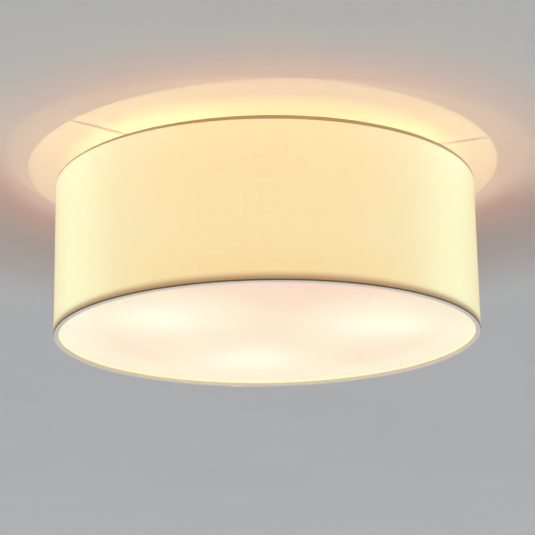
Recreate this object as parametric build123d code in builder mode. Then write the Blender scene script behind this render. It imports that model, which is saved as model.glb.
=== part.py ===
from build123d import *

import os
from math import atan2, cos, degrees, radians, sin, tan

# A flush ceiling light with a round cloth shade. z = 0 is the ceiling, and the light hangs below it.
# A strap is screwed to the ceiling, a pressed steel pan hangs on the strap and carries three lamp
# holders, and a wire-framed drum shade is held under the pan by three knurled nuts. An opal disc
# lies loose on the rolled bottom edge of the shade.

# ---------------------------------------------------------------- driving dimensions, mm

# Shade
shade_diameter = 400.0
shade_height = 150.0
cloth_thickness = 0.5
liner_thickness = 0.4
glue_line = 0.15
ring_wire = 3.2
ring_gap = 0.3  # between a ring's wire and the cloth rolled round it
cloth_wrap = 270.0  # degrees of the ring that the cloth is rolled round
seam_width = 15.0
seam_wrap = 120.0
slit_clearance = 1.2  # the rolled cloth is slit this far either side of an arm

# Arms that join the shade's top ring to the pan
arm_wire = 3.5
weld_gap = 0.02
stud_circle = 268.0

# Opal disc
disc_thickness = 2.0
disc_side_gap = 0.6
rest_gap = 0.1

# Ceiling pan
pan_diameter = 286.0
pan_depth = 20.0
pan_sheet = 0.8
pan_corner = 2.6
bead_circle = 104.0
bead_width = 6.0
cable_slack = 4.5  # radius of the hole that a holder's leads pass through

# Strap
strap_length = 176.0
strap_width = 25.0
strap_sheet = 2.0
strap_step = 3.0
strap_step_start = 52.0
strap_step_run = 8.0
slot_spacing = 80.0
slot_length = 16.0
slot_width = 5.0
strap_cable_hole = 12.0
strap_screw_spacing = 140.0

# Fasteners
m4_radius = 2.0
m3_radius = 1.5
thread_gap = 0.05
hole_gap = 0.5
m4_head_radius = 3.5
m4_head_height = 2.4
m3_head_radius = 2.8
m3_head_height = 1.9
head_bevel = 0.8
drive_width = 0.8
drive_depth = 0.9
washer_radius = 4.5
washer_thickness = 0.8
stud_length = 14.0
cap_nut_flats = 7.0
cap_nut_hex = 3.4
cap_nut_height = 8.0
cap_nut_dome_radius = 3.1
cap_nut_depth = 6.2
knurled_radius = 6.0
knurled_height = 4.6
knurl_collar_radius = 4.2
knurl_collar_height = 2.4
knurl_grooves = 24
knurl_size = 0.9

# Lamps
lamp_count = 3
lamp_circle = 190.0
first_lamp_azimuth = 90.0
contact_depth = 13.0  # from the pan to the lamp's end contact
holder_flange_radius = 22.0
holder_flange = 4.0
holder_radius = 19.0
holder_rim_radius = 20.4
holder_rim = 7.0
holder_height = 38.0
holder_floor = 9.0
holder_pocket_depth = 6.0
holder_flutes = 16
holder_flute_radius = 1.4
holder_screw_offset = 17.0
holder_screw_bite = 6.0
sleeve_wall = 0.4
sleeve_height = 19.0
sleeve_lip = 1.6
contact_sheet = 0.5
contact_width = 6.0
contact_reach = 8.0

# Bulb, screw cap 27 mm, opal glass
cap_radius = 13.0
cap_running_gap = 0.08
cap_length = 24.0
insulator_height = 1.9
insulator_top_radius = 6.0
end_contact_radius = 4.6
end_contact_height = 0.6
globe_radius = 30.0
globe_below_contact = 79.0
neck_radius = 13.6
neck_length = 6.5
glass_wall = 0.8

# Terminal block, poles live, neutral and earth from left to right
block_pitch = 10.0
block_length = 30.0
block_depth = 16.0
block_height = 8.6
block_tower_width = 7.2
block_tower_height = 12.6
block_tower_setback = 1.0
block_corner = 1.0
block_tower_corner = 2.0
block_centre_y = -32.0
pole_height = 5.0
block_hole_radius = 1.1
pole_tube_radius = 2.05
pole_tube_bore = 1.5
pole_tube_length = 13.0
pole_screw_spacing = 8.0
pole_screw_length = 4.2

# Leads
lead_radius = 1.1
lead_pair_offset = 1.6
lead_start_spacing = 2.4
lead_first_run = 5.5
neutral_rise = 4.7
bend_share = 0.45

# Earth lug
lug_sheet = 0.8
lug_ring_radius = 4.4
lug_barrel_radius = 1.8
lug_barrel_length = 5.0
earth_x = 28.0
earth_y = -30.0

# ---------------------------------------------------------------- levels and radii that follow

plate_under = -pan_depth
plate_top = plate_under + pan_sheet
pan_radius = pan_diameter / 2

arm_level = plate_under - rest_gap - arm_wire / 2
wall_radius = shade_diameter / 2
roll_radius = ring_wire / 2 + ring_gap + cloth_thickness
ring_radius = wall_radius - roll_radius
top_ring_level = arm_level
shade_top = top_ring_level + roll_radius
shade_bottom = shade_top - shade_height
bottom_ring_level = shade_bottom + roll_radius
liner_outer = wall_radius - cloth_thickness - glue_line
liner_inner = liner_outer - liner_thickness
liner_end_gap = 0.2
liner_top = top_ring_level - ring_wire / 2 - liner_end_gap
liner_bottom = bottom_ring_level + ring_wire / 2 + liner_end_gap

disc_radius = liner_inner - disc_side_gap
disc_under = bottom_ring_level + roll_radius + rest_gap

contact_level = plate_under - contact_depth
globe_level = contact_level - globe_below_contact
cap_start = contact_level - end_contact_height - insulator_height
cap_end = cap_start - cap_length
holder_bore = cap_radius + cap_running_gap + sleeve_wall + glue_line

lamp_azimuths = [first_lamp_azimuth + i * 360 / lamp_count for i in range(lamp_count)]
stud_radius_from_axis = stud_circle / 2


def around(distance, azimuth, z=0.0, sideways=0.0):
    """A point at this distance from the axis, moved sideways along the circle's tangent."""
    a = radians(azimuth)
    x = distance * cos(a) - sideways * sin(a)
    y = distance * sin(a) + sideways * cos(a)
    return (x, y, z)


def upright_plane(centre, azimuth):
    """A plane through a vertical axis at centre: its x points outwards, its y points up."""
    a = radians(azimuth)
    return Plane(origin=centre, x_dir=(cos(a), sin(a), 0), z_dir=(sin(a), -cos(a), 0))


def finish(piece, name):
    piece.part.label = name
    export_step(piece.part, f"parts/{name}.step")


os.makedirs("parts", exist_ok=True)

lamp_centres = [around(lamp_circle / 2, azimuth) for azimuth in lamp_azimuths]
stud_centres = [around(stud_radius_from_axis, azimuth) for azimuth in lamp_azimuths]
strap_screw_centres = [(-strap_screw_spacing / 2, 0), (strap_screw_spacing / 2, 0)]
holder_screw_centres = [
    around(lamp_circle / 2, azimuth, sideways=side * holder_screw_offset)
    for azimuth in lamp_azimuths
    for side in (-1, 1)
]

# ---------------------------------------------------------------- ceiling strap and its screws

strap_seat = -strap_step  # the stepped ends leave room for the screw heads

with BuildPart() as mounting_strap:
    with BuildSketch(Plane.XZ) as strap_profile:
        with BuildLine():
            end = strap_length / 2
            foot = strap_step_start + strap_step_run
            upper = [
                (-end, -strap_step),
                (-foot, -strap_step),
                (-strap_step_start, 0),
                (strap_step_start, 0),
                (foot, -strap_step),
                (end, -strap_step),
            ]
            lower = [(x, z - strap_sheet) for x, z in reversed(upper)]
            Polyline(*upper, *lower, close=True)
        make_face()
    extrude(amount=strap_width / 2, both=True)
    corners = mounting_strap.edges().filter_by(Axis.Z).group_by(SortBy.LENGTH)[0]
    fillet(corners, radius=strap_width / 5)
    with BuildSketch(Plane.XY):
        with Locations((-slot_spacing / 2, 0), (slot_spacing / 2, 0)):
            SlotOverall(slot_length, slot_width)
        Circle(strap_cable_hole / 2)
    extrude(amount=-strap_sheet, mode=Mode.SUBTRACT)
    with Locations(*[(x, y, strap_seat) for x, y in strap_screw_centres]):
        Hole(m4_radius + thread_gap)
finish(mounting_strap, "mounting_strap")


def cross_slots(z, centres, head_radius):
    """Two crossed driver slots, cut into the part in progress where its screw heads end at z."""
    with BuildSketch(Plane.XY.offset(z)) as slots:
        with Locations(*centres):
            Rectangle(head_radius * 1.2, drive_width)
            Rectangle(drive_width, head_radius * 1.2)
    extrude(slots.sketch, amount=-drive_depth, mode=Mode.SUBTRACT)


cap_washer_under = plate_under - washer_thickness
strap_screw_end = cap_washer_under - cap_nut_depth + hole_gap

with BuildPart() as strap_screws:
    with BuildSketch(Plane.XY.offset(strap_seat)):
        with Locations(*strap_screw_centres):
            Circle(m4_head_radius)
    extrude(amount=m4_head_height)
    chamfer(strap_screws.edges().group_by(Axis.Z)[-1], length=head_bevel)
    with BuildSketch(Plane.XY.offset(strap_seat)):
        with Locations(*strap_screw_centres):
            Circle(m4_radius)
    extrude(amount=strap_screw_end - strap_seat)
    cross_slots(strap_seat + m4_head_height, strap_screw_centres, m4_head_radius)
finish(strap_screws, "strap_screws")

with BuildPart() as cap_washers:
    with BuildSketch(Plane.XY.offset(plate_under)):
        with Locations(*strap_screw_centres):
            Circle(washer_radius)
            Circle(m4_radius + hole_gap / 2, mode=Mode.SUBTRACT)
    extrude(amount=-washer_thickness)
finish(cap_washers, "cap_washers")

with BuildPart() as cap_nuts:
    with BuildSketch(Plane.XY.offset(cap_washer_under)):
        with Locations(*strap_screw_centres):
            RegularPolygon(cap_nut_flats / 2, 6, major_radius=False)
    extrude(amount=-cap_nut_hex)
    for x, y in strap_screw_centres:
        with BuildSketch(upright_plane((x, y, cap_washer_under), 0)):
            with BuildLine():
                shoulder = (cap_nut_dome_radius, -cap_nut_height + cap_nut_dome_radius)
                tip = (0, -cap_nut_height)
                Polyline(tip, (0, -cap_nut_hex), (cap_nut_dome_radius, -cap_nut_hex), shoulder)
                CenterArc((0, shoulder[1]), cap_nut_dome_radius, 0, -90)
            make_face()
        revolve(axis=Axis((x, y, 0), (0, 0, 1)))
    with BuildSketch(Plane.XY.offset(cap_washer_under)):
        with Locations(*strap_screw_centres):
            Circle(m4_radius + thread_gap)
    extrude(amount=-cap_nut_depth, mode=Mode.SUBTRACT)
finish(cap_nuts, "cap_nuts")

# ---------------------------------------------------------------- ceiling pan

with BuildPart() as ceiling_pan:
    with BuildSketch(Plane.XZ) as pan_profile:
        with BuildLine():
            Polyline(
                (0, plate_under),
                (pan_radius, plate_under),
                (pan_radius, 0),
                (pan_radius - pan_sheet, 0),
                (pan_radius - pan_sheet, plate_top),
                (0, plate_top),
                close=True,
            )
        make_face()
        outer_knee = pan_profile.vertices().sort_by_distance((pan_radius, plate_under))[0]
        fillet(outer_knee, radius=pan_corner)
        inner_corner = (pan_radius - pan_sheet, plate_top)
        inner_knee = pan_profile.vertices().sort_by_distance(inner_corner)[0]
        fillet(inner_knee, radius=pan_corner - pan_sheet)
        with Locations((bead_circle / 2, plate_under)):
            Circle(bead_width / 2)
            Circle(bead_width / 2 - pan_sheet, mode=Mode.SUBTRACT)
            Rectangle(bead_width, bead_width, align=(Align.CENTER, Align.MAX), mode=Mode.SUBTRACT)
    revolve(axis=Axis.Z)
    with BuildSketch(Plane.XY.offset(plate_under)):
        with Locations(*lamp_centres):
            Circle(cable_slack)
        with Locations(*strap_screw_centres):
            Circle(m4_radius + hole_gap)
        with Locations(*holder_screw_centres):
            Circle(m3_radius + hole_gap / 2)
    extrude(amount=pan_sheet, mode=Mode.SUBTRACT)
finish(ceiling_pan, "ceiling_pan")

with BuildPart() as pan_studs:
    with BuildSketch(Plane.XY.offset(plate_under)):
        with Locations(*stud_centres):
            Circle(m4_radius)
    extrude(amount=-stud_length)
    chamfer(pan_studs.edges().group_by(Axis.Z)[0], length=m4_radius / 4)
finish(pan_studs, "pan_studs")

# ---------------------------------------------------------------- terminal block in the pan

pole_offsets = [(i - 1) * block_pitch for i in range(3)]
pole_level = plate_top + pole_height
block_face_y = block_centre_y + block_depth / 2
block_screw_centres = [(-block_pitch / 2, block_centre_y), (block_pitch / 2, block_centre_y)]
pole_screw_centres = [
    (x, block_centre_y + side * pole_screw_spacing / 2) for x in pole_offsets for side in (-1, 1)
]

with BuildPart() as terminal_block:
    with BuildSketch(Plane.XY.offset(plate_top)):
        with Locations((0, block_centre_y)):
            RectangleRounded(block_length, block_depth, block_corner)
    extrude(amount=block_height)
    with BuildSketch(Plane.XY.offset(plate_top + block_height)):
        with Locations(*[(x, block_centre_y) for x in pole_offsets]):
            tower_depth = block_depth - block_tower_setback
            RectangleRounded(block_tower_width, tower_depth, block_tower_corner)
    extrude(amount=block_tower_height - block_height)
    with BuildSketch(Plane.XZ.offset(-block_face_y)):
        with Locations(*[(x, pole_level) for x in pole_offsets]):
            Circle(pole_tube_radius + glue_line)
    extrude(amount=block_depth, mode=Mode.SUBTRACT)
    with BuildSketch(Plane.XY.offset(plate_top + block_tower_height)):
        with Locations(*pole_screw_centres):
            Circle(m3_radius + thread_gap)
    extrude(amount=pole_height - block_tower_height, mode=Mode.SUBTRACT)
    with BuildSketch(Plane.XY.offset(plate_top)):
        with Locations(*block_screw_centres):
            Circle(block_hole_radius)
    extrude(amount=block_height, mode=Mode.SUBTRACT)
finish(terminal_block, "terminal_block")

with BuildPart() as terminal_tubes:
    with BuildSketch(Plane.XZ.offset(-block_centre_y - pole_tube_length / 2)):
        with Locations(*[(x, pole_level) for x in pole_offsets]):
            Circle(pole_tube_radius)
            Circle(pole_tube_bore, mode=Mode.SUBTRACT)
    extrude(amount=pole_tube_length)
finish(terminal_tubes, "terminal_tubes")

pole_screw_under = pole_level + pole_tube_radius + glue_line

with BuildPart() as terminal_screws:
    with BuildSketch(Plane.XY.offset(pole_screw_under)):
        with Locations(*pole_screw_centres):
            Circle(m3_radius)
    extrude(amount=pole_screw_length)
    with BuildSketch(Plane.XY.offset(pole_screw_under + pole_screw_length)):
        with Locations(*pole_screw_centres):
            Rectangle(m3_radius * 2.4, drive_width * 0.75)
    extrude(amount=-drive_depth, mode=Mode.SUBTRACT)
finish(terminal_screws, "terminal_screws")

# ---------------------------------------------------------------- earth point

with BuildPart() as earth_lug:
    with BuildSketch(Plane.XY.offset(plate_top)):
        with Locations((earth_x, earth_y)):
            Circle(lug_ring_radius)
        with Locations((earth_x, earth_y + lug_ring_radius)):
            Rectangle(lug_barrel_radius * 2, lug_ring_radius)
        with Locations((earth_x, earth_y)):
            Circle(m4_radius + hole_gap / 2, mode=Mode.SUBTRACT)
    extrude(amount=lug_sheet)
    lug_mouth_y = earth_y + lug_ring_radius * 1.4 + lug_barrel_length
    lug_level = plate_top + lug_barrel_radius
    with BuildSketch(Plane.XZ.offset(-lug_mouth_y)):
        with Locations((earth_x, lug_level)):
            Circle(lug_barrel_radius)
    extrude(amount=lug_barrel_length)
finish(earth_lug, "earth_lug")

with BuildPart() as earth_screw:
    head_under = plate_top + lug_sheet
    with BuildSketch(Plane.XY.offset(head_under)):
        with Locations((earth_x, earth_y)):
            Circle(m4_head_radius)
    extrude(amount=m4_head_height)
    chamfer(earth_screw.edges().group_by(Axis.Z)[-1], length=head_bevel)
    with BuildSketch(Plane.XY.offset(head_under)):
        with Locations((earth_x, earth_y)):
            Circle(m4_radius)
    extrude(amount=-lug_sheet)
    cross_slots(head_under + m4_head_height, [(earth_x, earth_y)], m4_head_radius)
finish(earth_screw, "earth_screw")

# ---------------------------------------------------------------- lamp holders

holder_rim_under = plate_under - holder_height
sleeve_inner = cap_radius + cap_running_gap
sleeve_top = holder_rim_under + sleeve_lip + sleeve_height
spring_top = plate_under - holder_floor

for number, (azimuth, centre) in enumerate(zip(lamp_azimuths, lamp_centres), start=1):
    lamp_axis = Axis(centre, (0, 0, 1))
    section_plane = upright_plane(centre, azimuth)
    own_screws = [
        around(lamp_circle / 2, azimuth, sideways=side * holder_screw_offset) for side in (-1, 1)
    ]

    with BuildPart() as lamp_holder:
        with BuildSketch(section_plane):
            with BuildLine():
                slope = holder_rim_radius - holder_radius
                waist_top = plate_under - holder_flange - slope
                waist_end = holder_rim_under + holder_rim
                Polyline(
                    (0, plate_under),
                    (holder_flange_radius, plate_under),
                    (holder_flange_radius, plate_under - holder_flange),
                    (holder_radius, waist_top),
                    (holder_radius, waist_end),
                    (holder_rim_radius, waist_end - slope),
                    (holder_rim_radius, holder_rim_under),
                    (holder_bore, holder_rim_under),
                    (holder_bore, spring_top),
                    (0, spring_top),
                    close=True,
                )
            make_face()
        revolve(axis=lamp_axis)
        with BuildSketch(Plane(origin=(centre[0], centre[1], waist_end))):
            with PolarLocations(holder_radius + holder_flute_radius / 2, holder_flutes):
                Circle(holder_flute_radius)
        extrude(amount=waist_top - waist_end, mode=Mode.SUBTRACT)
        with BuildSketch(Plane(origin=(centre[0], centre[1], plate_under))):
            Circle(cable_slack)
        extrude(amount=-holder_pocket_depth, mode=Mode.SUBTRACT)
        with BuildSketch(Plane.XY.offset(plate_under)):
            with Locations(*own_screws):
                Circle(m3_radius + thread_gap)
        extrude(amount=-holder_screw_bite, mode=Mode.SUBTRACT)
    finish(lamp_holder, f"lamp_holder_{number}")

    with BuildPart() as holder_sleeve:
        with BuildSketch(section_plane):
            with Locations((sleeve_inner, sleeve_top)):
                Rectangle(sleeve_wall, sleeve_height, align=(Align.MIN, Align.MAX))
        revolve(axis=lamp_axis)
    finish(holder_sleeve, f"holder_sleeve_{number}")

    with BuildPart() as holder_contact:
        with BuildSketch(section_plane):
            with BuildLine():
                tip_top = contact_level + rest_gap + contact_sheet
                upper = [
                    (-contact_reach, spring_top),
                    (-contact_reach / 2, spring_top),
                    (0, tip_top),
                    (contact_reach / 2, tip_top),
                ]
                lower = [(x, z - contact_sheet) for x, z in reversed(upper)]
                Polyline(*upper, *lower, close=True)
            make_face()
        extrude(amount=contact_width / 2, both=True)
    finish(holder_contact, f"holder_contact_{number}")

with BuildPart() as holder_screws:
    with BuildSketch(Plane.XY.offset(plate_top)):
        with Locations(*holder_screw_centres):
            Circle(m3_head_radius)
    extrude(amount=m3_head_height)
    chamfer(holder_screws.edges().group_by(Axis.Z)[-1], length=head_bevel)
    with BuildSketch(Plane.XY.offset(plate_top)):
        with Locations(*holder_screw_centres):
            Circle(m3_radius)
    extrude(amount=-pan_sheet - holder_screw_bite + hole_gap)
    cross_slots(plate_top + m3_head_height, holder_screw_centres, m3_head_radius)
finish(holder_screws, "holder_screws")

# ---------------------------------------------------------------- bulbs

neck_end = cap_end - neck_length


def globe_section(plane, inset):
    """Half section of the opal globe, from its neck to its lowest point, inset from the outside.

    The neck flares out in an arc that meets the globe without a corner.
    """
    radius = globe_radius - inset
    neck = neck_radius - inset
    rise = neck_end - globe_level
    flare = (neck**2 + rise**2 - radius**2) / (2 * (radius - neck))
    turn = degrees(atan2(rise, neck + flare))
    with BuildSketch(plane) as section:
        with BuildLine():
            Polyline((0, globe_level - radius), (0, cap_end), (neck, cap_end), (neck, neck_end))
            CenterArc((neck + flare, neck_end), flare, 180, turn)
            CenterArc((0, globe_level), radius, turn, -90 - turn)
        make_face()
    return section.sketch


for number, (azimuth, centre) in enumerate(zip(lamp_azimuths, lamp_centres), start=1):
    lamp_axis = Axis(centre, (0, 0, 1))
    section_plane = upright_plane(centre, azimuth)

    with BuildPart() as bulb_globe:
        revolve(globe_section(section_plane, 0), axis=lamp_axis)
        revolve(globe_section(section_plane, glass_wall), axis=lamp_axis, mode=Mode.SUBTRACT)
    finish(bulb_globe, f"bulb_globe_{number}")

    with BuildPart() as bulb_cap:
        with BuildSketch(section_plane):
            with Locations((0, cap_start)):
                Rectangle(cap_radius, cap_length, align=(Align.MIN, Align.MAX))
        revolve(axis=lamp_axis)
        chamfer(bulb_cap.edges().group_by(Axis.Z)[-1], length=cap_radius / 10)
    finish(bulb_cap, f"bulb_cap_{number}")

    with BuildPart() as bulb_insulator:
        with BuildSketch(section_plane):
            with BuildLine():
                foot = cap_radius - cap_radius / 10
                Polyline(
                    (0, cap_start),
                    (foot, cap_start),
                    (insulator_top_radius, cap_start + insulator_height),
                    (0, cap_start + insulator_height),
                    close=True,
                )
            make_face()
        revolve(axis=lamp_axis)
    finish(bulb_insulator, f"bulb_insulator_{number}")

    with BuildPart() as bulb_end_contact:
        with BuildSketch(Plane(origin=(centre[0], centre[1], cap_start + insulator_height))):
            Circle(end_contact_radius)
        extrude(amount=end_contact_height)
        chamfer(bulb_end_contact.edges().group_by(Axis.Z)[-1], length=end_contact_height / 2)
    finish(bulb_end_contact, f"bulb_end_contact_{number}")

# ---------------------------------------------------------------- leads in the pan

lead_end = plate_under - holder_pocket_depth
live_level = pole_level
neutral_level = pole_level + neutral_rise


def bend_radii(route):
    """The largest arc that the runs either side of each inner point leave room for."""
    radii = []
    for before, here, after in zip(route, route[1:], route[2:]):
        arriving = Vector(*here) - Vector(*before)
        leaving = Vector(*after) - Vector(*here)
        shorter = min(arriving.length, leaving.length)
        half_turn = radians(arriving.get_angle(leaving)) / 2
        radii.append(bend_share * shorter / tan(half_turn))
    return radii


def leaving(x):
    """The first two points of a lead: square out of the terminal block's face at x."""
    return [(x, block_face_y, live_level), (x, block_face_y + lead_first_run, live_level)]


def entering(azimuth, side, level):
    """The last two points of a lead: over its holder and then down into the holder's pocket."""
    x, y, _ = around(lamp_circle / 2, azimuth, sideways=side * lead_pair_offset)
    return [(x, y, level), (x, y, lead_end)]


# The first and the last points of each route follow the block and the holders, and the points
# between are where the lead lies in the pan.
first, second, third = lamp_azimuths
live_x, neutral_x, earth_start_x = pole_offsets

live_routes = [
    leaving(live_x)
    + [(-8.8, 4, live_level), (-7, 33, live_level), (-4, 64, live_level)]
    + entering(first, 1, live_level),
    leaving(live_x - lead_start_spacing)
    + [(-20, -9, live_level), (-38, -5.5, live_level), (-60, -13, live_level), (-75, -28, live_level)]
    + entering(second, 1, live_level),
    leaving(live_x + lead_start_spacing)
    + [(-1, -8.5, live_level), (15, -3.5, live_level), (38, -5, live_level)]
    + [(61, -14, live_level), (76, -29, live_level)]
    + entering(third, -1, live_level),
]
neutral_routes = [
    leaving(neutral_x)
    + [(0.4, -12.5, neutral_level), (3.2, 14, neutral_level)]
    + [(4.2, 42, neutral_level), (3.2, 70, neutral_level)]
    + entering(first, -1, neutral_level),
    leaving(neutral_x - lead_start_spacing)
    + [(-3.6, -12.5, neutral_level), (-22, 0, neutral_level)]
    + [(-46, -2, neutral_level), (-70, -20, neutral_level)]
    + entering(second, -1, neutral_level),
    leaving(neutral_x + lead_start_spacing)
    + [(3.4, -12.5, neutral_level), (20, 0, neutral_level)]
    + [(46, -2, neutral_level), (70, -20, neutral_level)]
    + entering(third, 1, neutral_level),
]
earth_route = leaving(earth_start_x) + [
    (13, -10.5, live_level - 0.5),
    (22, -8, live_level - 1.5),
    (earth_x, lug_mouth_y + lead_first_run, lug_level),
    (earth_x, lug_mouth_y, lug_level),
]

for name, routes in (
    ("live_leads", live_routes),
    ("neutral_leads", neutral_routes),
    ("earth_lead", [earth_route]),
):
    with BuildPart() as leads:
        for route in routes:
            radii = bend_radii(route)
            with BuildLine():
                centre_line = FilletPolyline(*route, radius=radii)
            with BuildSketch(Plane(origin=centre_line @ 0, z_dir=centre_line % 0)):
                Circle(lead_radius)
            sweep(path=centre_line)
            print(name, round(centre_line.length), "long, bends", [round(r, 1) for r in radii])
    finish(leads, name)

# ---------------------------------------------------------------- drum shade


def rolled_section(inner, thickness, wrap):
    """Half section of a wall that is rolled round both wire rings.

    inner is the radius of its roll about the wire's centre, and wrap how far it goes round.
    """
    outer = inner + thickness
    with BuildSketch(Plane.XZ) as section:
        with BuildLine():
            for level, turn in ((top_ring_level, wrap), (bottom_ring_level, -wrap)):
                outside = CenterArc((ring_radius, level), outer, 0, turn)
                inside = CenterArc((ring_radius, level), inner, 0, turn)
                Line(outside @ 1, inside @ 1)
            for radius in (outer, inner):
                reach = ring_radius + radius
                Line((reach, top_ring_level), (reach, bottom_ring_level))
        make_face()
    return section.sketch


cloth_roll = ring_wire / 2 + ring_gap
seam_roll = cloth_roll + cloth_thickness + glue_line
slit_angle = degrees((arm_wire + 2 * slit_clearance) / ring_radius)

with BuildPart() as shade_cloth:
    revolve(rolled_section(cloth_roll, cloth_thickness, cloth_wrap), axis=Axis.Z)
    with BuildSketch(Plane.XZ) as slit_section:
        with Locations((ring_radius, top_ring_level + arm_wire / 2 + glue_line)):
            Rectangle(2 * roll_radius, 3 * roll_radius, align=(Align.MAX, Align.MAX))
    for azimuth in lamp_azimuths:
        slit_side = slit_section.sketch.rotate(Axis.Z, azimuth - slit_angle / 2)
        revolve(slit_side, axis=Axis.Z, revolution_arc=slit_angle, mode=Mode.SUBTRACT)
finish(shade_cloth, "shade_cloth")

# The cloth's free edge laps over its start behind the first lamp
seam_angle = degrees(seam_width / wall_radius)

with BuildPart() as seam_lap:
    section = rolled_section(seam_roll, cloth_thickness * 0.8, seam_wrap)
    first_side = first_lamp_azimuth - seam_angle / 2
    revolve(section.rotate(Axis.Z, first_side), axis=Axis.Z, revolution_arc=seam_angle)
finish(seam_lap, "seam_lap")

with BuildPart() as shade_liner:
    with BuildSketch(Plane.XY.offset(liner_top)):
        Circle(liner_outer)
        Circle(liner_inner, mode=Mode.SUBTRACT)
    extrude(amount=liner_bottom - liner_top)
finish(shade_liner, "shade_liner")

for name, level in (("top_ring", top_ring_level), ("bottom_ring", bottom_ring_level)):
    with BuildPart() as ring:
        with BuildSketch(Plane.XZ):
            with Locations((ring_radius, level)):
                Circle(ring_wire / 2)
        revolve(axis=Axis.Z)
    finish(ring, name)

# ---------------------------------------------------------------- arms, washers and knurled nuts

eye_bend = m4_radius + hole_gap / 2 + arm_wire / 2
arm_end = ring_radius - ring_wire / 2 - weld_gap

with BuildPart() as carrier_arms:
    for azimuth in lamp_azimuths:
        x, y, _ = around(stud_radius_from_axis, azimuth)
        with Locations((x, y, arm_level)):
            Torus(eye_bend, arm_wire / 2)
        start = stud_radius_from_axis + eye_bend
        outwards = around(1, azimuth)
        with BuildSketch(Plane(origin=around(start, azimuth, arm_level), z_dir=outwards)):
            Circle(arm_wire / 2)
        extrude(amount=arm_end - start)
finish(carrier_arms, "carrier_arms")

eye_under = arm_level - arm_wire / 2
nut_washer_top = eye_under - glue_line
nut_top = nut_washer_top - washer_thickness - glue_line

with BuildPart() as nut_washers:
    with BuildSketch(Plane.XY.offset(nut_washer_top)):
        with Locations(*stud_centres):
            Circle(washer_radius)
            Circle(m4_radius + hole_gap / 2, mode=Mode.SUBTRACT)
    extrude(amount=-washer_thickness)
finish(nut_washers, "nut_washers")

for number, centre in enumerate(stud_centres, start=1):
    with BuildPart() as knurled_nut:
        with BuildSketch(Plane(origin=(centre[0], centre[1], nut_top))):
            Circle(knurl_collar_radius)
        extrude(amount=-knurl_collar_height)
        with BuildSketch(Plane(origin=(centre[0], centre[1], nut_top - knurl_collar_height))):
            Circle(knurled_radius)
            with PolarLocations(knurled_radius, knurl_grooves):
                Rectangle(knurl_size, knurl_size, rotation=45, mode=Mode.SUBTRACT)
        extrude(amount=-knurled_height)
        with Locations((centre[0], centre[1], nut_top)):
            Hole(m4_radius + thread_gap)
    finish(knurled_nut, f"knurled_nut_{number}")

# ---------------------------------------------------------------- opal disc

with BuildPart() as opal_disc:
    with BuildSketch(Plane.XY.offset(disc_under)):
        Circle(disc_radius)
    extrude(amount=disc_thickness)
    chamfer(opal_disc.edges(), length=disc_thickness / 8)
finish(opal_disc, "opal_disc")
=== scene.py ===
# %% [markdown]
# # A flush ceiling light with a round cloth shade
#
# The light hangs from a ceiling at z = 0. Its outside is a cloth drum, 400 mm across and 150 mm high,
# and an opal disc closes the drum from below. Inside are a pressed steel pan, three lamp holders with
# opal bulbs, a terminal block and the leads.
#
# The measured solids come in first and stay where they are. Everything made here is set out in the
# same frame, in metres, so a piece is placed by its own measurements and never fitted by eye.

# %% Load the frame
from math import atan2, cos, degrees, hypot, pi, radians, sin

import bpy
from mathutils import Matrix, Vector


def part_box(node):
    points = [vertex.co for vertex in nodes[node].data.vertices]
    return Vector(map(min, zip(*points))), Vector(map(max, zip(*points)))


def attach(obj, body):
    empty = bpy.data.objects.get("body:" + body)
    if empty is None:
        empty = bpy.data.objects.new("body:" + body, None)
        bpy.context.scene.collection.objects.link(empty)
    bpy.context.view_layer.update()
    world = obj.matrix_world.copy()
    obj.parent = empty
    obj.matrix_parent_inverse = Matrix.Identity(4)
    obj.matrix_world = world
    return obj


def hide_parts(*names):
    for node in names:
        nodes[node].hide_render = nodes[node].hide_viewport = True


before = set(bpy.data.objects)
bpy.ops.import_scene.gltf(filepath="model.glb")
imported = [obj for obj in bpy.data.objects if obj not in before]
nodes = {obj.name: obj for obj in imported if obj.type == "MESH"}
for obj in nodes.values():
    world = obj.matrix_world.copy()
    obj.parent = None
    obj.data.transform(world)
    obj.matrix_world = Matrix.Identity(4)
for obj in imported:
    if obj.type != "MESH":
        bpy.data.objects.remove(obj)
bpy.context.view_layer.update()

# %% [markdown]
# ## Measurements
#
# The drum's sizes are used by the cloth, by its glow and by the lights, so they are read once from
# the solids. The lamps, the studs and the bright places all stand on circles round the drum's axis,
# and most of the small pieces come in threes, one for each lamp. A lamp's place is the middle of its
# globe.

# %% Sizes of the drum and places of the lamps
cloth_low, cloth_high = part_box("shade_cloth")
drum_radius = round(cloth_high.x, 4)
drum_top = round(cloth_high.z, 5)
drum_bottom = round(cloth_low.z, 5)
ring_low, ring_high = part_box("bottom_ring")
bottom_ring_level = (ring_low.z + ring_high.z) / 2
roll_radius = bottom_ring_level - drum_bottom
top_ring_level = drum_top - roll_radius
ring_radius = drum_radius - roll_radius
cloth_thickness = 0.0005


def on_circle(radius, azimuth, level=0.0):
    """A place at this distance and azimuth from the drum's axis."""
    return (radius * cos(radians(azimuth)), radius * sin(radians(azimuth)), level)


def trio(name):
    """The names of the three pieces of one kind."""
    return [f"{name}_{number}" for number in (1, 2, 3)]


lamp_azimuths = (90, 210, 330)
lamp_circle_radius = 0.095
globe_low, globe_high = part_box("bulb_globe_1")
globe_radius = (globe_high.x - globe_low.x) / 2
lamp_level = globe_low.z + globe_radius
lamps = [on_circle(lamp_circle_radius, azimuth, lamp_level) for azimuth in lamp_azimuths]
print("drum radius", drum_radius, "from", drum_bottom, "to", drum_top, "roll", round(roll_radius, 5))
print("lamps at", [tuple(round(v, 4) for v in lamp) for lamp in lamps])

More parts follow.
